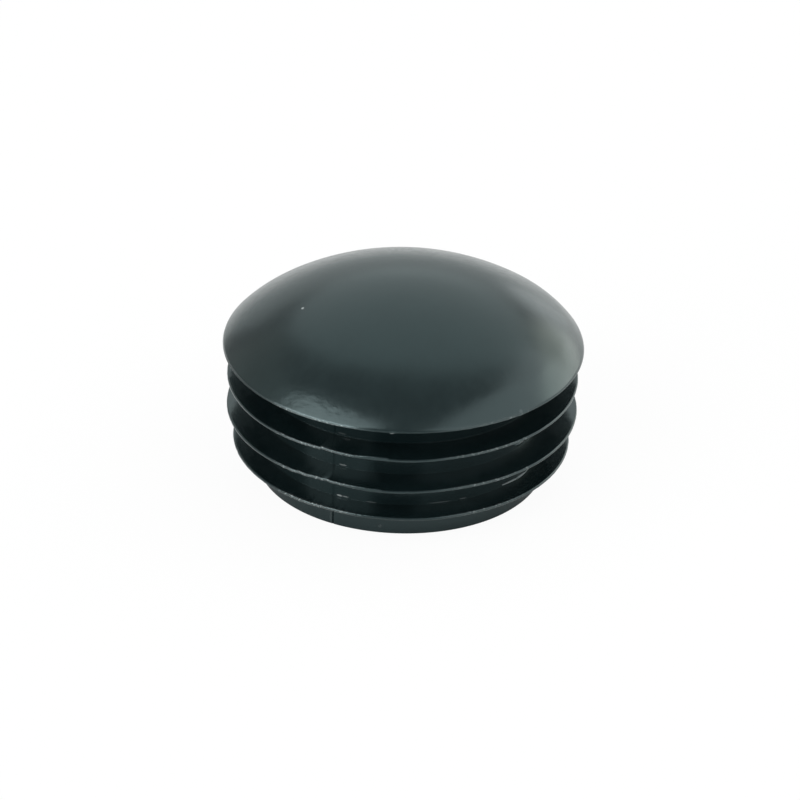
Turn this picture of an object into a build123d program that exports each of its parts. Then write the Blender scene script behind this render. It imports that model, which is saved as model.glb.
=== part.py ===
from build123d import *

import os
from math import asin, degrees, radians, tan

# A domed end cap for a round tube, moulded in one piece. The head covers the tube's end, flush
# with its outside. The hollow body goes into the bore, where thin flexible fins grip it.
# Millimetres, +Z up. The origin is the centre of the body's open rim.

# The tubes that the cap closes
tube_diameter = 30.0  # outside
thinnest_tube_wall = 0.8
thickest_tube_wall = 2.5

# Head
crown_height = 6.15  # top of the crown above the shoulder that the tube's end meets
head_edge_radius = 0.8

# Body
body_clearance = 0.5  # to the narrowest bore, on the radius
nose_length = 2.6  # plain end of the body, from the last fin's middle to the rim
rim_wall = 1.6
rim_edge_radius = 0.1
crown_wall = 1.8
ceiling_radius = 1.5  # in the corner where the hollow's side meets its ceiling
hollow_draft = 0.5  # degrees

# Fins
fin_count = 3
first_fin_drop = 2.8  # shoulder to the first fin's middle
fin_pitch = 2.9
fin_bite = 0.4  # past the widest bore, on the radius
lead_fin_relief = 0.55  # the last fin enters the tube first and is this much smaller, on the radius
fin_tip = 0.3
fin_root = 0.9
fin_root_radius = 0.1

# Radii that follow from the tubes
head_radius = tube_diameter / 2
body_radius = head_radius - thickest_tube_wall - body_clearance
fin_radius = head_radius - thinnest_tube_wall + fin_bite
lead_fin_radius = fin_radius - lead_fin_relief
mouth_radius = body_radius - rim_wall

# Heights, from the fins up
shoulder = nose_length + (fin_count - 1) * fin_pitch + first_fin_drop
crown_top = shoulder + crown_height

# The crown is a sphere that runs tangent into the rounded edge, and the edge's arc is upright
# where it ends at the shoulder. That fixes the sphere's radius and where the two arcs meet.
edge_centre = head_radius - head_edge_radius
crown_radius = (edge_centre**2 + crown_height**2 - head_edge_radius**2) / (
    2 * (crown_height - head_edge_radius)
)
crown_centre = crown_top - crown_radius
crown_angle = degrees(asin(edge_centre / (crown_radius - head_edge_radius)))

with BuildPart() as end_cap:
    # Outside of the moulding, as the right half of its section
    with BuildSketch(Plane.XZ) as outside:
        with BuildLine():
            crown = JernArc((0, crown_top), (1, 0), crown_radius, -crown_angle)
            edge = JernArc(crown @ 1, crown % 1, head_edge_radius, crown_angle - 90)
            Polyline(edge @ 1, (body_radius, shoulder), (body_radius, 0), (0, 0), crown @ 0)
        make_face()
        for fin in range(fin_count):
            leads = fin == fin_count - 1
            tip_radius = lead_fin_radius if leads else fin_radius
            with Locations((0, shoulder - first_fin_drop - fin * fin_pitch)):
                Polygon(
                    (0, -fin_root / 2),
                    (body_radius, -fin_root / 2),
                    (tip_radius, -fin_tip / 2),
                    (tip_radius, fin_tip / 2),
                    (body_radius, fin_root / 2),
                    (0, fin_root / 2),
                    align=None,
                )
        # Every corner on the body's wall but the lowest, which is the rim's
        wall_corners = outside.vertices().group_by(Axis.X)[1].sort_by(Axis.Y)
        fillet(wall_corners[1:], fin_root_radius)
    revolve(axis=Axis.Z)

    # Hollow, open at the rim, with a ceiling that follows the crown
    with BuildSketch(Plane.XZ) as hollow:
        with BuildLine():
            draft_run = crown_top * tan(radians(hollow_draft))
            Polyline(
                (0, 0),
                (mouth_radius, 0),
                (mouth_radius - draft_run, crown_top),
                (0, crown_top),
                close=True,
            )
        make_face()
        with Locations((0, crown_centre)):
            Circle(crown_radius - crown_wall, mode=Mode.INTERSECT)
        ceiling_corner = hollow.vertices().filter_by_position(Axis.Y, shoulder, crown_top)
        fillet(ceiling_corner.sort_by(Axis.X)[-1], ceiling_radius)
    revolve(axis=Axis.Z, mode=Mode.SUBTRACT)

    rim = end_cap.faces().sort_by(Axis.Z)[0]
    fillet(rim.edges(), rim_edge_radius)

end_cap.part.label = "end_cap"
os.makedirs("parts", exist_ok=True)
export_step(end_cap.part, "parts/end_cap.step")
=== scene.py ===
import math

import bpy
import numpy as np
from mathutils import Matrix, Vector

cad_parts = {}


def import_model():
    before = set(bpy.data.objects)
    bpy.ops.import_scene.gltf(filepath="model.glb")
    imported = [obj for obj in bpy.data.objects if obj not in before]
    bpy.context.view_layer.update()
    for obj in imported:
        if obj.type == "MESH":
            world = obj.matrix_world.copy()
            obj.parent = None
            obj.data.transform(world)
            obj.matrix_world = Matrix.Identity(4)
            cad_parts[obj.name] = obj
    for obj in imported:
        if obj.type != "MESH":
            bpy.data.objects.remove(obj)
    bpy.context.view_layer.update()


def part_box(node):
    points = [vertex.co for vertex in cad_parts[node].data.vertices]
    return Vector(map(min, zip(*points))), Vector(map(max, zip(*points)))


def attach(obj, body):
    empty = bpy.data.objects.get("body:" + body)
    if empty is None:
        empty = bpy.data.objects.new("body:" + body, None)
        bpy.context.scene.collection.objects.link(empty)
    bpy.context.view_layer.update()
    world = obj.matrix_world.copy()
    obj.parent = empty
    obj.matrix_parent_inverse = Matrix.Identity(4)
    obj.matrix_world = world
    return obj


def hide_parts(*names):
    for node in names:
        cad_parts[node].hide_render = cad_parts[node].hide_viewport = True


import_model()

# A domed end cap for a round tube, moulded in one piece in black plastic. It stands on its open
# rim on a white table. The section is in millimetres, with r the distance from the cap's axis
# and z the height above the table. Angles round the axis are in degrees from the front, which
# faces the camera, and grow to the camera's right.
MM = 0.001
SEED = 7

# ---------------------------------------------------------------- sizes

# What the frame gives
cap_low, cap_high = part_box("end_cap")
HEAD_RADIUS = (cap_high[0] - cap_low[0]) / 2 / MM
TOP = cap_high[2] / MM

# Head: a sphere, then a tighter arc past CROWN_TURNS from the axis, then the rounded edge
CROWN_HEIGHT = 6.15
CROWN_TURNS = 13.0
TURN_RADIUS = 9.0
HEAD_EDGE = 0.5
SHOULDER = TOP - CROWN_HEIGHT

# Body and its hollow
BODY_RADIUS = 12.0
RIM_WALL = 1.6
RIM_EDGE = 0.1
CROWN_WALL = 1.8
CEILING_CORNER = 1.5
DRAFT = math.radians(0.5)

# Fins, from the head down: how far each reaches, and the height of the middle of its tip. At
# the root the upper face is FIN_UPPER above that and the lower face FIN_LOWER below it.
FIN_REACH = (14.6, 14.6, 14.05)
FIN_HEIGHT = (SHOULDER - 2.77, SHOULDER - 5.68, SHOULDER - 8.59)
FIN_TIP = 0.26  # thickness
FIN_UPPER = 0.16
FIN_LOWER = 0.45
ROOT_RADIUS = 0.003
TIP_RADIUS = 0.11
FIN_FACE = 1.5  # straights that run in or out by more are the fins' faces and the underside

# The sprue's stub in the middle of the hollow's ceiling. Its outline is in shares of its radius
# and of its height.
GATE_RADIUS = 0.7
GATE_HEIGHT = 0.3
GATE_OUTLINE = ((1, 0.85), (0.9, 1), (0.35, 0.9), (0, 1.15))

# How the section is drawn
CRISP = 0.05  # radius on the corners that are drawn sharp
HOLD = 0.02  # how far along the straights a point stands beside each rounding
CROWN_STEPS, TURN_STEPS, HEAD_EDGE_STEPS = 34, 14, 8
CRISP_STEPS, ROOT_STEPS, TIP_STEPS, RIM_STEPS = 4, 1, 4, 5
WALL_POINTS, CORNER_STEPS, CEILING_STEPS = 6, 8, 14

# ---------------------------------------------------------------- what moulding adds

# The line where the halves of the mould met
PARTING = (-26.8, 153.2)
PARTING_WIDTH = 0.5  # degrees to each side
PARTING_DEPTH = 0.025  # on the fins and between them
RIM_PARTING = 0.09  # and on the plain rim below them

# The crown stands this far to the right of the body's axis, and comes to it over this height
LEAN = 0.12
LEAN_RISE = 1.5

# Slow waves in the fins, and their ragged tips
WARP = 0.02
WARP_UP, WARP_OUT = (2, 3, 5, 7), (2, 4, 6)  # how many waves go round
FRINGE = 0.3  # how far in from its tip a fin is ragged
RAGGED_STEP = 0.6  # degrees
RAGGED_OUT, RAGGED_UP = 0.006, 0.005
ROUGHER = (-32, 22, 2)  # the middle and width of where it is more so, and how much more

# The flaws of each fin, from the head down. "thick" raises the upper face, "step" the tip, and
# "sag" and "dip" the whole fin, or they lower it where a size is negative. "nick" takes the tip
# in. Those of "dip" and "nick" are humps, as (middle, width, size), and the others are ramps,
# as (start, end, size).
FIN_FLAWS = (
    {
        "thick": [(-15, -10, 0.10), (-4.3, -3.6, -0.10)],
        "step": [(-27.0, -26.5, 0.10), (-26, -20, -0.10)],
        "sag": [(-38, -28, 0.07), (-28, -10, -0.07)],
        "dip": [(6, 14, -0.07)],
        "nick": [(44.2, 0.6, 0.06)],
    },
    {
        "thick": [(-20, -12, 0.08), (-6.3, -5.6, -0.08)],
        "step": [(-27, -24.5, 0.06), (-23.9, -23.4, -0.06)],
        "sag": [(-38, -28, 0.09), (-26, -8, -0.24), (-6, 26, 0.15)],
        "nick": [(45.9, 0.6, 0.06)],
    },
    {"dip": [(-25, 12, 0.06), (9, 17, -0.07)]},
)
FRONT = (70, 120)  # the steps and sags fade between these angles from the front

# Burrs and a fine unevenness under the head's lower edge
BURRS = ((-2.8, 1.1, 0.10), (40.7, 1.1, 0.05))  # humps
LIP_REACH = 0.25  # how far from the edge they show
LIP_STEP = 0.8  # degrees
LIP_RAGGED = 0.012

# Flash that has come partly off the fins on the right: a flap under the first fin, and a
# thread that hangs from the second. Each point is an angle, a distance from the axis and a
# height from the lower corner of the fin's tip.
FLAP = ((39.6, 14.57, 0.03), (44.0, 14.57, 0.03), (43.4, 14.50, -0.14), (41.6, 14.38, -0.42))
FLAP_INNER = 0.995  # its inner side is this share as far from the axis
THREAD = (
    (46.4, 14.52, 0.02),
    (44.6, 14.56, -0.14),
    (42.9, 14.58, -0.26),
    (41.0, 14.58, -0.36),
    (38.4, 14.55, -0.46),
    (35.4, 14.50, -0.58),
)
THREAD_WIDTH = 0.2
THREAD_SIDES = 6
THREAD_END = 0.35  # the share of its width at its ends

# The angles at which the section is turned into the cap are even, and closer together where
# the mould has left its marks: from, to and how far apart
EVEN = (-180, 180, 1.2)
CLOSE = ((39, 47, 0.4), (-8.5, 0, 0.4), (-46, -8, 0.4))
PARTING_CLOSE = (1, 0.125)  # to each side of the parting line, and how far apart

# ---------------------------------------------------------------- section


def arc(centre, radius, start, end, steps):
    """Points on an arc of the section, with its angles in degrees from +r towards +z."""
    turn = np.radians(np.linspace(start, end, steps + 1))
    return np.c_[centre[0] + radius * np.cos(turn), centre[1] + radius * np.sin(turn)]


def rounded(before, corner, after, radius, steps):
    """The arc that rounds a corner, with a point just short of it and one just past it, which
    keep the straights flat."""
    before, corner, after = map(np.array, (before, corner, after))
    back = (before - corner) / np.linalg.norm(before - corner)
    on = (after - corner) / np.linalg.norm(after - corner)
    half = math.acos(float(back @ on)) / 2
    reach = radius / math.tan(half)
    middle = (back + on) / np.linalg.norm(back + on)
    centre = corner + middle * radius / math.sin(half)
    first, last = corner + back * reach - centre, corner + on * reach - centre
    start = math.degrees(math.atan2(first[1], first[0]))
    sweep = math.degrees(math.atan2(*np.flip([first @ last, np.cross(first, last)])))
    hold = reach + min(HOLD, radius)
    return np.vstack(
        [
            corner + back * hold,
            arc(centre, radius, start, start + sweep, steps),
            corner + on * hold,
        ]
    )


def crown_arcs():
    """The sphere's radius, and the outside from the top of the crown to just above the
    shoulder. The three arcs run tangent into each other, and the last is upright at its end."""
    edge = HEAD_RADIUS - HEAD_EDGE
    small, large = CROWN_TURNS * 1.05, CROWN_TURNS * 3
    for _ in range(40):  # halves the range each time: a smaller sphere makes a higher crown
        radius = (small + large) / 2
        turn = math.asin(CROWN_TURNS / radius)
        middle = CROWN_TURNS - TURN_RADIUS * math.sin(turn)
        join = math.asin(min(1, (edge - middle) / (TURN_RADIUS - HEAD_EDGE)))
        fall = (radius - TURN_RADIUS) * math.cos(turn) + (TURN_RADIUS - HEAD_EDGE) * math.cos(join)
        small, large = (radius, large) if radius - fall > CROWN_HEIGHT else (small, radius)
    turn, join = 90 - math.degrees(turn), 90 - math.degrees(join)
    crisp = math.degrees(math.asin((CRISP + HOLD) / HEAD_EDGE))
    lift = TOP - radius + (radius - TURN_RADIUS) * math.sin(math.radians(turn))
    arcs = [
        arc((0, TOP - radius), radius, 90, turn, CROWN_STEPS),
        arc((middle, lift), TURN_RADIUS, turn, join, TURN_STEPS)[1:],
        arc((edge, SHOULDER), HEAD_EDGE, join, crisp, HEAD_EDGE_STEPS)[1:],
    ]
    return radius, np.vstack(arcs)


def finned_side():
    """The outside from the head's lower edge down to the rim, then across the rim. Each corner
    is its place, its radius and the radius's steps."""
    corners = [
        (HEAD_RADIUS, SHOULDER + CRISP, 0, 0),
        (HEAD_RADIUS, SHOULDER, CRISP, CRISP_STEPS),
        (BODY_RADIUS, SHOULDER, ROOT_RADIUS, ROOT_STEPS),
    ]
    for reach, height in zip(FIN_REACH, FIN_HEIGHT):
        corners += [
            (BODY_RADIUS, height + FIN_UPPER, ROOT_RADIUS, ROOT_STEPS),
            (reach, height + FIN_TIP / 2, TIP_RADIUS, TIP_STEPS),
            (reach, height - FIN_TIP / 2, TIP_RADIUS, TIP_STEPS),
            (BODY_RADIUS, height - FIN_LOWER, ROOT_RADIUS, ROOT_STEPS),
        ]
    mouth = BODY_RADIUS - RIM_WALL
    corners += [
        (BODY_RADIUS, 0, RIM_EDGE, RIM_STEPS),
        (mouth, 0, RIM_EDGE, RIM_STEPS),
        (mouth, TOP, 0, 0),
    ]
    side = [
        rounded(a[:2], b[:2], c[:2], b[2], b[3])
        for a, b, c in zip(corners, corners[1:], corners[2:])
    ]
    return with_fringes(np.vstack(side))


def with_fringes(points):
    """The same outline with a point FRINGE short of the outer end of each fin's faces and of
    the head's underside, so that a ragged edge leaves the rest of the face even."""
    kept = [points[0]]
    for last, here in zip(points, points[1:]):
        fall = last[0] - here[0]
        if abs(fall) > FIN_FACE and last[0] > BODY_RADIUS - ROOT_RADIUS:
            share = FRINGE / abs(fall)
            outer_end, inner_end = (last, here) if fall > 0 else (here, last)
            kept.append(outer_end + (inner_end - outer_end) * share)
        kept.append(here)
    return np.array(kept)


def hollow(crown_radius):
    """The inside from the rim up the drafted wall, round the corner and along the ceiling to
    the gate's stub on the axis."""
    ceiling = crown_radius - CROWN_WALL
    centre_z = TOP - crown_radius
    corner_z = SHOULDER
    for _ in range(20):  # the corner's arc comes to touch both the wall and the ceiling's sphere
        corner_r = BODY_RADIUS - RIM_WALL - corner_z * math.tan(DRAFT) - CEILING_CORNER
        corner_z = centre_z + math.sqrt((ceiling - CEILING_CORNER) ** 2 - corner_r**2)
    wall_z = np.linspace(RIM_EDGE + 4 * HOLD, corner_z - HOLD, WALL_POINTS)
    wall_shade = np.c_[BODY_RADIUS - RIM_WALL - wall_z * math.tan(DRAFT), wall_z]
    join = math.degrees(math.atan2(corner_z - centre_z, corner_r))
    corner = arc((corner_r, corner_z), CEILING_CORNER, 0, join, CORNER_STEPS)
    stub = math.degrees(math.acos(GATE_RADIUS / ceiling))
    roof = arc((0, centre_z), ceiling, join, stub, CEILING_STEPS)[1:]
    gate = [(GATE_RADIUS * out, roof[-1][1] - GATE_HEIGHT * down) for out, down in GATE_OUTLINE]
    return np.vstack([wall_shade, corner, roof, gate])


def outer(section):
    """Whether each point of the section is on the outside."""
    return np.arange(len(section)) < section[:, 1].argmin()


# ---------------------------------------------------------------- flaws round the axis


def turn_from(angles, centre):
    """How far each angle is from centre, the short way round."""
    return (angles - centre + 180) % 360 - 180


def hump(angles, centre, width):
    """1 at centre, falling smoothly to 0 at width either side."""
    near = np.clip(1 - np.abs(turn_from(angles, centre)) / width, 0, 1)
    return near * near * (3 - 2 * near)


def ramp(angles, start, end):
    """0 before start, 1 after end, smooth between."""
    t = np.clip(turn_from(angles, start) / (end - start), 0, 1)
    return t * t * (3 - 2 * t)


def total(shape, angles, parts):
    """The sum of some humps or ramps, each given as its two angles and its size."""
    return sum((size * shape(angles, one, two) for one, two, size in parts), 0 * angles)


def waves(angles, random, orders):
    """Slow waves round the axis, each order fainter than the one before."""
    turn = np.radians(angles)
    return sum(
        WARP / (n + 1) * np.cos(order * turn + random.uniform(0, 2 * math.pi))
        for n, order in enumerate(orders)
    )


def ragged(angles, random, step, size):
    """A fine unevenness with a new value each step degrees."""
    knots = random.normal(0, size, round(360 / step))
    return np.interp(angles % 360, np.arange(len(knots) + 1) * step, [*knots, knots[0]])


def directions():
    """The angles at which the section is turned into the cap, in order."""
    beside, apart = PARTING_CLOSE
    spans = [EVEN, *[(line - beside, line + beside, apart) for line in PARTING], *CLOSE]
    angles = np.concatenate([np.arange(*span) for span in spans])
    return np.unique(np.round((angles + 180) % 360 - 180, 3))


def displaced(section, angles):
    """The section turned round the axis as two grids, r and z, a row for each of its points,
    with the unevenness of a real moulding."""
    random = np.random.default_rng(SEED)
    r, z = (np.repeat(section[:, [k]], len(angles), 1) for k in (0, 1))
    outside = outer(section)
    front = 1 - ramp(np.abs(angles), *FRONT)
    rough = 1 + total(hump, angles, [ROUGHER])

    for reach, height, flaws in zip(FIN_REACH, FIN_HEIGHT, FIN_FLAWS):
        out = np.clip((section[:, 0] - BODY_RADIUS) / (reach - BODY_RADIUS), 0, 1)
        on_fin = outside & (np.abs(section[:, 1] - height) < FIN_LOWER + ROOT_RADIUS)
        whole = (out * on_fin)[:, None]
        upper = whole * (section[:, 1] > height)[:, None]
        tip = whole * np.clip((section[:, 0] - reach + FRINGE) / FRINGE, 0, 1)[:, None]
        z += whole * waves(angles, random, WARP_UP)
        r += whole * waves(angles, random, WARP_OUT)
        r += tip * ragged(angles, random, RAGGED_STEP, RAGGED_OUT) * rough
        z += tip * ragged(angles, random, RAGGED_STEP, RAGGED_UP) * rough
        z += front * upper * total(ramp, angles, flaws.get("thick", ()))
        z += front * tip * total(ramp, angles, flaws.get("step", ()))
        z += front * whole * total(ramp, angles, flaws.get("sag", ()))
        z += front * whole * total(hump, angles, flaws.get("dip", ()))
        r -= whole * total(hump, angles, flaws.get("nick", ()))

    # The line where the mould's halves met, down the body and across the fins' tips
    groove = total(hump, angles, [(line, PARTING_WIDTH, 1) for line in PARTING])
    below = (outside & (section[:, 1] < SHOULDER - ROOT_RADIUS))[:, None]
    plain = (section[:, 1] < FIN_HEIGHT[-1] - 2 * FIN_LOWER)[:, None]
    r -= below * np.where(plain, RIM_PARTING, PARTING_DEPTH) * groove

    # The head's lower edge
    away = np.hypot(section[:, 0] - HEAD_RADIUS, section[:, 1] - SHOULDER)
    lip = (np.clip(1 - away / LIP_REACH, 0, 1) * outside)[:, None]
    z -= lip * total(hump, angles, BURRS)
    z -= lip * np.abs(ragged(angles, random, LIP_STEP, LIP_RAGGED))
    return r, z


# ---------------------------------------------------------------- the cap's mesh


def at(angle, radius, z):
    """A point from its angle, its distance from the axis and its height."""
    turn = math.radians(angle)
    return np.array((radius * math.sin(turn), -radius * math.cos(turn), z))


def strand(path):
    """A thread of plastic along a path, thinner towards both ends, as points and faces."""
    points, faces = [], []
    along = np.gradient(np.array(path), axis=0)
    for n, (here, way) in enumerate(zip(path, along)):
        way = way / np.linalg.norm(way)
        one = np.cross(way, (0, 0, 1))
        one /= np.linalg.norm(one)
        two = np.cross(way, one)
        swell = math.sin(math.pi * (n + 0.5) / len(path))
        radius = THREAD_WIDTH / 2 * (THREAD_END + (1 - THREAD_END) * swell)
        for k in range(THREAD_SIDES):
            turn = 2 * math.pi * k / THREAD_SIDES
            points.append(here + radius * (one * math.cos(turn) + two * math.sin(turn)))
    for n in range(len(path) - 1):
        for k in range(THREAD_SIDES):
            a, b = n * THREAD_SIDES + k, n * THREAD_SIDES + (k + 1) % THREAD_SIDES
            faces.append([a, b, b + THREAD_SIDES, a + THREAD_SIDES])
    faces.append(list(range(THREAD_SIDES))[::-1])
    faces.append([len(points) - THREAD_SIDES + k for k in range(THREAD_SIDES)])
    return points, faces


def slivers():
    """The flap and the thread of flash, each as points and faces."""
    first, second = FIN_HEIGHT[0] - FIN_TIP / 2, FIN_HEIGHT[1] - FIN_TIP / 2
    flap = [at(angle, radius, first + up) for angle, radius, up in FLAP]
    flap += [p * (FLAP_INNER, FLAP_INNER, 1) for p in flap]
    faces = [[3, 2, 1, 0], [4, 5, 6, 7]]
    faces += [[k, (k + 1) % 4, (k + 1) % 4 + 4, k + 4] for k in range(4)]
    thread = [at(angle, radius, second + up) for angle, radius, up in THREAD]
    return [(flap, faces), strand(thread)]


def cap_mesh(section):
    """The section turned into a closed mesh. Its first and last points are on the axis."""
    angles = directions()
    r, z = displaced(section[1:-1], angles)
    turn = np.radians(angles)
    rings = np.stack([r * np.sin(turn), -r * np.cos(turn), z], 2).reshape(-1, 3)
    risen = np.clip((rings[:, 2] - SHOULDER - HEAD_EDGE / 2) / LEAN_RISE, 0, 1)
    rings[:, 0] += LEAN * risen * np.repeat(outer(section)[1:-1], len(angles))
    ends = [(LEAN, 0, section[0][1]), (0, 0, section[-1][1])]
    points = np.vstack([rings, ends]) * MM

    rows, count = len(section) - 2, len(angles)
    here = np.arange(count)
    then = np.roll(here, -1)
    faces = []
    for row in range(rows - 1):
        a, b = row * count, (row + 1) * count
        faces += np.c_[a + here, b + here, b + then, a + then].tolist()
    top, bottom = rows * count, rows * count + 1
    last = (rows - 1) * count
    faces += np.c_[np.full(count, top), here, then].tolist()
    faces += np.c_[np.full(count, bottom), last + then, last + here].tolist()
    for extra, sides in slivers():
        faces += [[len(points) + k for k in side] for side in sides]
        points = np.vstack([points, np.array(extra) * MM])

    mesh = bpy.data.meshes.new("end_cap_moulding")
    mesh.from_pydata(points.tolist(), [], faces)
    mesh.validate()
    mesh.shade_smooth()
    return mesh


# ---------------------------------------------------------------- the plastic's looks

# Colours, as the mottle goes from one black to the other, and the pale of the speck, the flash and
# the painted highlights
BLACK, PALER_BLACK = (0.0036, 0.0078, 0.0086, 1), (0.0050, 0.0102, 0.0112, 1)
PALE_AND_GLINT = (0.30, 0.32, 0.32, 1)
SPECULAR_TINT = (0.745, 0.98, 1.0, 1)
IOR = 1.59
SHINY, DULL = 0.5, 0.1  # specular levels

# Roughness of what goes into the tube and of the head. The mottle and the scuffs add up to a
# wear, and over WEAR's range the roughness goes from one share of itself in WORN to the other.
GLOSSY, SATIN = 0.18, 0.24
MOTTLE_WEAR = (0.45, 0.55)
WEAR, WORN = (0.75, 1.25), (0.86, 1.14)

# Noise: how fine it is, per metre or per degree and millimetre, and its detail
MOTTLE = (420.0, 3.0)
MOTTLE_RANGE = (0.3, 0.7)
STRETCH = (1.3, 2.0, 5.0)  # of beads and scuffs, by angle, radius and height
BEADS, SCUFFS = (1.0, 2.0), (0.35, 4.0)
STREAK_STRETCH, STREAKS = (0.22, 1.1, 1.6), (1.0, 3.0)
STREAK_DEPTH = 5.0e-5
BUMPS = (((6000.0, 2.0), 1.0e-6), ((1500.0, 2.0), 3.0e-6), ((300.0, 2.0), 1.5e-5))  # and depth

# Where the beads of flash and painted highlight, the scuffs and the like show round the axis: the
# middle of each, how far to each side it is full, and how far to each side it ends
FLASH_AND_GLINT_LEFT, FLASH_AND_GLINT_RIGHT = (-30.0, 8, 18), (30.0, 6, 18)
SCUFFED = (-31.0, 10, 22)
SOFT_LIP = (-68.0, 8, 22)
# The wall's share is how far the wall under the head is dulled as painted shade
RIGHT_FLASH_AND_GLINT, SOFT_LIP_DULL, WALL_SHADE = 0.5, 0.8, 0.85  # shares of the full effect

# Flash and painted highlight are in beads: how strong it is off them and on them, and what noise
# makes one
BEAD_PALE, BEAD_NOISE = (0.12, 0.75), (0.56, 0.68)

# Where masks start and where they are full, in heights from the shoulder. ABOVE_LAST_FIN is
# where the fins' reach changes.
SATIN_UP = (0.05, 0.45)
UNDER_HEAD = (-0.2, -0.3)
ABOVE_LAST_FIN = (-7.2, -7.0)
LIP_DOWN = (0.3, 0.1)
STREAKS_DOWN, STREAKS_UP = (2.0, 0.9), (-0.05, 0.1)
# WALL_DOWN and WALL_UP bound the painted shade on the wall under the head
WALL_DOWN, WALL_UP = (0.2, 0.0), (-2.65, -2.5)

# The same in distances from the head's radius, from a fin's reach and from the body's radius
LIP_OUT = (-0.22, -0.1)
TIP_OUT = (-0.16, -0.04)
# WALL_IN: how far in from the body's radius that painted shade starts and is full
WALL_IN = (0.4, 0.2)

SPOT_FULL = 0.55  # a spot is full within this share of its reach

# Pale marks, most of them painted highlights where light glints on the fins' roots, beside the
# rim's seam, above and on the first fin and on the burrs under the head's edge. The rest are a
# faint smudge on the rim and pale spots at the fins' nicks and on the thread of flash. Each is the
# middle as an angle, a distance from the axis and a height from the shoulder, then how far they
# reach each of those ways, and how strong they are
GLINTS_AND_PALE_MARKS = (
    # Painted highlights: glints on the fins' roots
    ((-22.9, 12.0, -5.35), (1.9, 0.2, 0.08), 0.4),
    ((-24.1, 12.0, -8.30), (1.4, 0.2, 0.09), 0.8),
    ((-21.6, 12.0, -8.29), (1.6, 0.2, 0.07), 0.45),
    ((-11.1, 12.0, -8.37), (2.6, 0.2, 0.06), 0.14),
    ((16.2, 12.0, -8.35), (5.5, 0.2, 0.06), 0.14),
    ((25.9, 12.0, -8.34), (1.8, 0.2, 0.07), 0.18),
    # A faint pale smudge on the plain rim
    ((-7.2, 12.0, -10.55), (0.9, 0.2, 0.2), 0.05),
    # Painted highlight on the left side of the rim's seam
    ((-27.7, 12.0, -10.5), (0.5, 0.2, 0.9), 0.06),
    # Painted highlights on the wall above the first fin and on that fin's upper face
    ((-23.6, 12.0, -2.42), (2.2, 0.2, 0.07), 0.10),
    ((-20.6, 12.4, -2.61), (1.8, 0.2, 0.08), 0.10),
    # Painted glints on the burrs under the head's edge
    ((-2.8, 14.97, -0.05), (1.2, 0.14, 0.09), 0.30),
    ((40.7, 14.9, 0.28), (0.8, 0.3, 0.2), 0.10),
    # Pale spots at the nicks in the first two fins, and along the thread of flash
    ((44.6, 14.6, -2.80), (0.45, 0.2, 0.16), 0.4),
    ((46.0, 14.6, -5.72), (0.45, 0.2, 0.16), 0.3),
    ((43.4, 14.6, -6.03), (3.2, 0.3, 0.17), 0.25),
    ((38.4, 14.55, -6.27), (5.0, 0.3, 0.24), 0.25),
)
SEAM = ((PARTING[0], BODY_RADIUS, -10.5), (0.5, 0.3, 1.2))  # where the rim's seam is dark

# A white speck on the crown and a dull dot near the head's edge: x, y and height from the
# shoulder, and how far each reaches
SPECK = ((-8.40, -2.31, 4.43), 0.17)
PIT = ((-9.60, -11.57, 0.46), 0.14)


def make(tree, kind, inputs=None, **settings):
    """A node with its settings, and its inputs set or linked by name or number."""
    node = tree.nodes.new(kind)
    for name, value in settings.items():
        setattr(node, name, value)
    for name, value in (inputs or {}).items():
        if isinstance(value, bpy.types.NodeSocket):
            tree.links.new(value, node.inputs[name])
        else:
            node.inputs[name].default_value = value
    return node


def joined(tree, operation, *values):
    """Numbers joined by Math nodes."""
    first, *others = values
    for other in others:
        first = make(tree, "ShaderNodeMath", {0: first, 1: other}, operation=operation).outputs[0]
    return first


def eased(tree, value, start, end, low=0.0, high=1.0):
    """low until value reaches start, high from end on, and even between."""
    inputs = {"Value": value, "From Min": start, "From Max": end, "To Min": low, "To Max": high}
    return make(tree, "ShaderNodeMapRange", inputs).outputs["Result"]


def banded(tree, value, base, band, low=0.0, high=1.0):
    """low until value reaches the band's start, high from its end on, and even between. The
    band is given from a base."""
    start, end = band
    return eased(tree, value, base + start, base + end, low, high)


def near_angle(tree, angle, middle, full, end):
    """1 within full degrees of an angle round the axis, falling to 0 at end degrees from it."""
    away = joined(tree, "ABSOLUTE", joined(tree, "SUBTRACT", angle, middle), 0.0)
    return eased(tree, away, end, full)


def spot(tree, place, middle, reach):
    """1 in a spot of the place given as three numbers, falling softly to 0 at its reach."""
    scaled = make(
        tree,
        "ShaderNodeVectorMath",
        {0: place, 1: [1 / k for k in reach], 2: [-m / k for m, k in zip(middle, reach)]},
        operation="MULTIPLY_ADD",
    )
    away = make(tree, "ShaderNodeVectorMath", {0: scaled.outputs[0]}, operation="LENGTH")
    return eased(tree, away.outputs["Value"], 1.0, SPOT_FULL)


def noise(tree, place, fineness, detail):
    """A noise from 0 to 1."""
    inputs = {"Vector": place, "Scale": fineness, "Detail": detail}
    return make(tree, "ShaderNodeTexNoise", inputs).outputs["Fac"]


def stretched(tree, place, by):
    """A place with each of its three numbers multiplied."""
    return make(tree, "ShaderNodeVectorMath", {0: place, 1: by}, operation="MULTIPLY").outputs[0]


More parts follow.
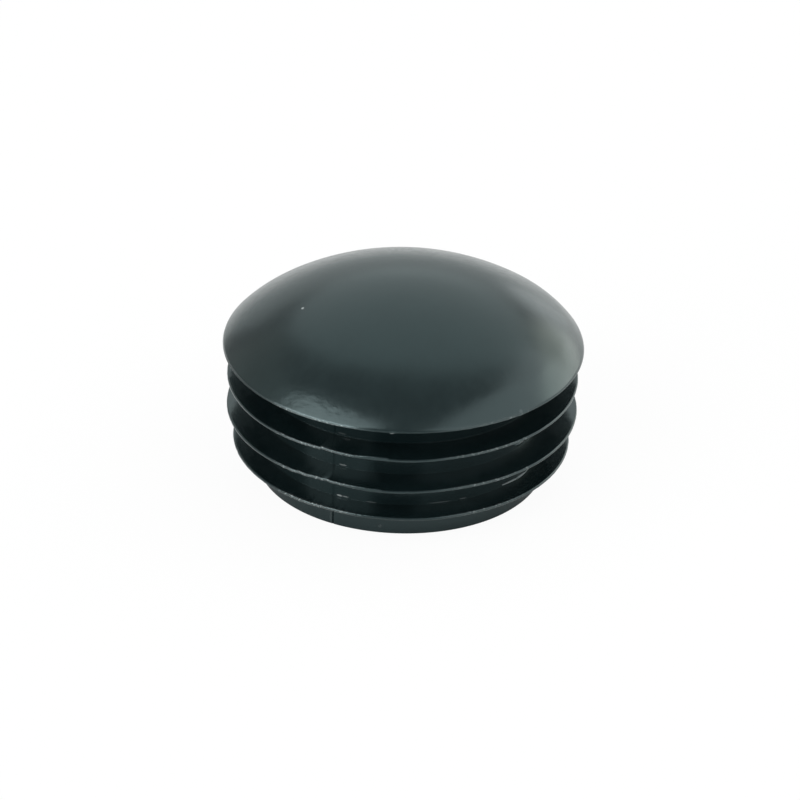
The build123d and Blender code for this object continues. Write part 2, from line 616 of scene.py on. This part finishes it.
def round_axis(tree, place):
    """The angle, the distance from the axis and the height above the table, in degrees and
    millimetres, first as one vector."""
    apart = make(tree, "ShaderNodeSeparateXYZ", {"Vector": place}).outputs
    front = joined(tree, "MULTIPLY", apart["Y"], -1.0)
    turn = joined(tree, "ARCTAN2", apart["X"], front)
    angle = joined(tree, "MULTIPLY", turn, math.degrees(1))
    flat = make(tree, "ShaderNodeCombineXYZ", {"X": apart["X"], "Y": apart["Y"]}).outputs[0]
    away = make(tree, "ShaderNodeVectorMath", {0: flat}, operation="LENGTH").outputs["Value"]
    radius = joined(tree, "MULTIPLY", away, 1 / MM)
    height = joined(tree, "MULTIPLY", apart["Z"], 1 / MM)
    polar = make(tree, "ShaderNodeCombineXYZ", {"X": angle, "Y": radius, "Z": height}).outputs[0]
    return polar, angle, radius, height


def polar_spot(tree, polar, middle, reach):
    """A spot whose middle is an angle, a distance from the axis and a height from the
    shoulder."""
    turn, out, up = middle
    return spot(tree, polar, (turn, out, SHOULDER + up), reach)


def black_plastic():
    """Satin black polyethylene, with a fine grain and slow mottling. Pale marks and beads on the
    roots and thin edges are mostly painted highlights, with some flash among them, and the wall
    under the head reflects less as painted shade."""
    material = bpy.data.materials.new("black_plastic")
    material.use_nodes = True
    tree = material.node_tree
    shader = tree.nodes["Principled BSDF"]
    place = make(tree, "ShaderNodeTexCoord").outputs["Object"]
    polar, angle, radius, height = round_axis(tree, place)
    mottle = noise(tree, place, *MOTTLE)
    longways = stretched(tree, polar, STRETCH)
    speck, pit = (
        spot(tree, place, [x * MM, y * MM, (SHOULDER + z) * MM], [size * MM] * 3)
        for (x, y, z), size in (SPECK, PIT)
    )

    # The edges: the tips of the fins, the last of which reaches less far, and the head's lip
    below = banded(tree, height, SHOULDER, UNDER_HEAD)
    reach = banded(tree, height, SHOULDER, ABOVE_LAST_FIN, FIN_REACH[-1], FIN_REACH[0])
    tip = banded(tree, joined(tree, "SUBTRACT", radius, reach), 0.0, TIP_OUT)
    lip = joined(
        tree,
        "MULTIPLY",
        banded(tree, radius, HEAD_RADIUS, LIP_OUT),
        banded(tree, height, SHOULDER, LIP_DOWN),
    )
    edges = joined(tree, "MAXIMUM", joined(tree, "MULTIPLY", tip, below), lip)

    # Colour: black, with the speck, pale marks that are mostly painted highlights, and pale beads
    # along the edges that are partly flash and partly painted highlight
    colour = make(tree, "ShaderNodeValToRGB", {"Fac": mottle})
    for stop, position, black in zip(
        colour.color_ramp.elements, MOTTLE_RANGE, (BLACK, PALER_BLACK)
    ):
        stop.position, stop.color = position, black
    glints_and_pale_marks = [
        joined(tree, "MULTIPLY", polar_spot(tree, polar, middle, size), strength)
        for middle, size, strength in GLINTS_AND_PALE_MARKS
    ]
    # Pale beads along the edges, on the left and more faintly on the right: partly flash and
    # partly painted highlight where the edges glint
    beads = eased(tree, noise(tree, longways, *BEADS), *BEAD_NOISE, *BEAD_PALE)
    right = joined(tree, "MULTIPLY", near_angle(tree, angle, *FLASH_AND_GLINT_RIGHT), RIGHT_FLASH_AND_GLINT)
    sides = joined(tree, "MAXIMUM", near_angle(tree, angle, *FLASH_AND_GLINT_LEFT), right)
    flash_and_glint = joined(tree, "MULTIPLY", beads, sides, edges)
    pale_and_glint = joined(tree, "MAXIMUM", *glints_and_pale_marks, speck, flash_and_glint)
    shade = make(
        tree,
        "ShaderNodeMix",
        {0: pale_and_glint, "A": colour.outputs["Color"], "B": PALE_AND_GLINT},
        data_type="RGBA",
    )
    tree.links.new(shade.outputs[2], shader.inputs["Base Color"])

    # Roughness: the head is satin down to its lower edge. Below it the mould was polished, and
    # the plastic is glossier
    satin = banded(tree, height, SHOULDER, SATIN_UP, GLOSSY, SATIN)
    rubbed = eased(tree, mottle, *MOTTLE_RANGE, *MOTTLE_WEAR)
    wear = joined(tree, "ADD", rubbed, noise(tree, longways, *SCUFFS))
    worn = eased(tree, wear, *WEAR, *WORN)
    tree.links.new(joined(tree, "MULTIPLY", satin, worn), shader.inputs["Roughness"])

    # Bumps: grain, an uneven skin and a slow ripple all over, and streaks on the scuffed side
    # of the head
    scuffed = joined(
        tree,
        "MULTIPLY",
        near_angle(tree, angle, *SCUFFED),
        banded(tree, height, SHOULDER, STREAKS_DOWN),
        banded(tree, height, SHOULDER, STREAKS_UP),
    )
    streaks = noise(tree, stretched(tree, polar, STREAK_STRETCH), *STREAKS)
    bumps = [(noise(tree, place, *kind), depth, 1.0) for kind, depth in BUMPS]
    so_far = {}
    for bump, depth, strength in [*bumps, (streaks, STREAK_DEPTH, scuffed)]:
        inputs = {"Height": bump, "Strength": strength, "Distance": depth, **so_far}
        so_far = {"Normal": make(tree, "ShaderNodeBump", inputs).outputs["Normal"]}
    tree.links.new(so_far["Normal"], shader.inputs["Normal"])

    # Shine: the pit, the rim's seam and part of the lip are dull, and the wall in the first
    # groove, under the head, is dulled as painted shade
    soft_lip = joined(tree, "MULTIPLY", near_angle(tree, angle, *SOFT_LIP), lip, SOFT_LIP_DULL)
    wall_shade = joined(
        tree,
        "MULTIPLY",
        banded(tree, radius, BODY_RADIUS, WALL_IN),
        banded(tree, height, SHOULDER, WALL_UP, 0.0, WALL_SHADE),
        banded(tree, height, SHOULDER, WALL_DOWN),
    )
    dull_and_shade = joined(tree, "MAXIMUM", pit, polar_spot(tree, polar, *SEAM), soft_lip, wall_shade)
    shine = eased(tree, dull_and_shade, 0.0, 1.0, SHINY, DULL)
    tree.links.new(shine, shader.inputs["Specular IOR Level"])
    shader.inputs["Specular Tint"].default_value = SPECULAR_TINT
    shader.inputs["IOR"].default_value = IOR
    return material


# ---------------------------------------------------------------- stage, lights and camera

TABLE_REACH = 3.0  # metres each way
TABLE_LEVEL = -0.00002  # just under the rim
TABLE_COLOUR = (0.92, 0.92, 0.92, 1)
TABLE_WHITE = 0.94  # the share of plain white that the camera sees in it
WHITE = (1, 1, 1, 1)
ROOM_LEVEL = 0.32


def blend(tree, share, first, second):
    """A mix of two shaders."""
    inputs = {0: share, 1: first.outputs[0], 2: second.outputs[0]}
    return make(tree, "ShaderNodeMixShader", inputs)


def white_table():
    """A white table that goes on past the view. The camera sees it nearly pure white, with a
    little of the cap's shadow left."""
    mesh = bpy.data.meshes.new("table")
    corners = [(-1, -1), (1, -1), (1, 1), (-1, 1)]
    places = [(x * TABLE_REACH, y * TABLE_REACH, TABLE_LEVEL) for x, y in corners]
    mesh.from_pydata(places, [], [(0, 1, 2, 3)])
    table = bpy.data.objects.new("table", mesh)
    bpy.context.collection.objects.link(table)

    material = bpy.data.materials.new("white_table")
    material.use_nodes = True
    tree = material.node_tree
    tree.nodes.clear()
    camera_ray = make(tree, "ShaderNodeLightPath").outputs["Is Camera Ray"]
    matt = make(tree, "ShaderNodeBsdfDiffuse", {"Color": TABLE_COLOUR})
    white = make(tree, "ShaderNodeEmission", {"Color": WHITE, "Strength": 1.0})
    above = blend(tree, camera_ray, matt, blend(tree, TABLE_WHITE, matt, white))
    # From under the table the camera looks through it at the cap's open side
    from_under = make(tree, "ShaderNodeNewGeometry").outputs["Backfacing"]
    under = joined(tree, "MULTIPLY", camera_ray, from_under)
    both = blend(tree, under, above, make(tree, "ShaderNodeBsdfTransparent"))
    make(tree, "ShaderNodeOutputMaterial", {"Surface": both.outputs[0]})
    mesh.materials.append(material)


def world():
    """A dim room, white where the camera looks past the table."""
    room = bpy.data.worlds.new("room")
    bpy.context.scene.world = room
    room.use_nodes = True
    tree = room.node_tree
    tree.nodes.clear()
    camera_ray = make(tree, "ShaderNodeLightPath").outputs["Is Camera Ray"]
    dim = make(tree, "ShaderNodeBackground", {"Color": WHITE, "Strength": ROOM_LEVEL})
    white = make(tree, "ShaderNodeBackground", {"Color": WHITE, "Strength": 1.0})
    either = blend(tree, camera_ray, dim, white)
    make(tree, "ShaderNodeOutputWorld", {"Surface": either.outputs[0]})


def towards(azimuth, elevation):
    """A unit vector. Azimuth 0 points away from the camera and 90 to its right."""
    a, e = math.radians(azimuth), math.radians(elevation)
    return Vector((math.sin(a) * math.cos(e), math.cos(a) * math.cos(e), math.sin(e)))


LAMP_DISTANCE = 0.9
BACK_TINT = (0.9, 1.0, 1.0)  # the light from behind is a little green
SIDE_TINT = (0.98, 1.0, 0.88)  # and that from the sides a little yellow


def lamp(name, azimuth, elevation, across, up, radiance, shape="RECTANGLE", colour=(1, 1, 1)):
    """A soft lamp that faces the cap and subtends across by up degrees."""
    light = bpy.data.lights.new(name, "AREA")
    light.shape = shape
    light.size = 2 * LAMP_DISTANCE * math.tan(math.radians(across / 2))
    light.size_y = 2 * LAMP_DISTANCE * math.tan(math.radians(up / 2))
    area = light.size * light.size_y * (math.pi / 4 if shape == "ELLIPSE" else 1)
    light.energy = radiance * math.pi * area
    light.color = colour
    lit = bpy.data.objects.new(name, light)
    away = towards(azimuth, elevation)
    lit.location = away * LAMP_DISTANCE
    lit.rotation_mode = "QUATERNION"
    lit.rotation_quaternion = away.to_track_quat("Z", "Y")
    lit.visible_camera = False
    bpy.context.collection.objects.link(lit)


# The picture is 800 by 800. The middle of the shoulder's circle shows at SHOULDER_SEEN, and
# SCALE is the picture's pixels to a millimetre there.
PICTURE = 800
SHOULDER_SEEN = (403.5, 344.2)
SCALE = 12.045
CAMERA_DISTANCE = 0.5
CAMERA_HEIGHT = 28.82  # degrees above the table
CAMERA_ROLL = 1.618


def camera():
    """A long lens, a little above the cap."""
    data = bpy.data.cameras.new("camera")
    data.sensor_width = 36.0
    focal = SCALE / MM * CAMERA_DISTANCE  # in pixels
    data.lens = focal / PICTURE * data.sensor_width
    data.clip_start, data.clip_end = 0.01, 20.0
    view = bpy.data.objects.new("camera", data)
    bpy.context.collection.objects.link(view)

    ahead = towards(0, -CAMERA_HEIGHT)
    level = Vector((1, 0, 0))
    upright = level.cross(ahead)
    roll = math.radians(CAMERA_ROLL)
    right = level * math.cos(roll) + upright * math.sin(roll)
    up = upright * math.cos(roll) - level * math.sin(roll)
    shift_x = (SHOULDER_SEEN[0] - PICTURE / 2) / focal
    shift_y = (PICTURE / 2 - SHOULDER_SEEN[1]) / focal
    back = (right * shift_x + up * shift_y - ahead).normalized()
    right = up.cross(back).normalized()
    up = back.cross(right)
    turn = Matrix((right, up, back)).transposed()
    start = Vector((0, 0, SHOULDER * MM)) - ahead * CAMERA_DISTANCE
    view.matrix_world = Matrix.Translation(start) @ turn.to_4x4()
    bpy.context.scene.camera = view


# ---------------------------------------------------------------- the scene

crown_radius, crown = crown_arcs()
section = np.vstack([crown, finned_side(), hollow(crown_radius)])
cap = bpy.data.objects.new("end_cap_moulding", cap_mesh(section))
bpy.context.collection.objects.link(cap)
cap.data.materials.append(black_plastic())
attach(cap, "root")
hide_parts("end_cap")

white_table()
world()
lamp("back_disc", 3, 53, 68, 68, 0.75, "ELLIPSE", BACK_TINT)
lamp("back_low", -3, 11.5, 60, 23, 0.46, colour=BACK_TINT)
lamp("left_fill", -90, 24, 90, 48, 0.18, colour=SIDE_TINT)
lamp("left_window", -129, 28, 50, 56, 2.45)
lamp("left_foot", -128, 9, 52, 18, 3.0)
lamp("right_window", 106.5, 28.5, 100, 58, 1.17)
lamp("right_low", 56, 15.5, 51, 36, 1.31, "ELLIPSE", SIDE_TINT)
lamp("right_strip", 38, 7.75, 45, 21, 0.86, "ELLIPSE")
camera()

bpy.context.scene.view_settings.view_transform = "Standard"
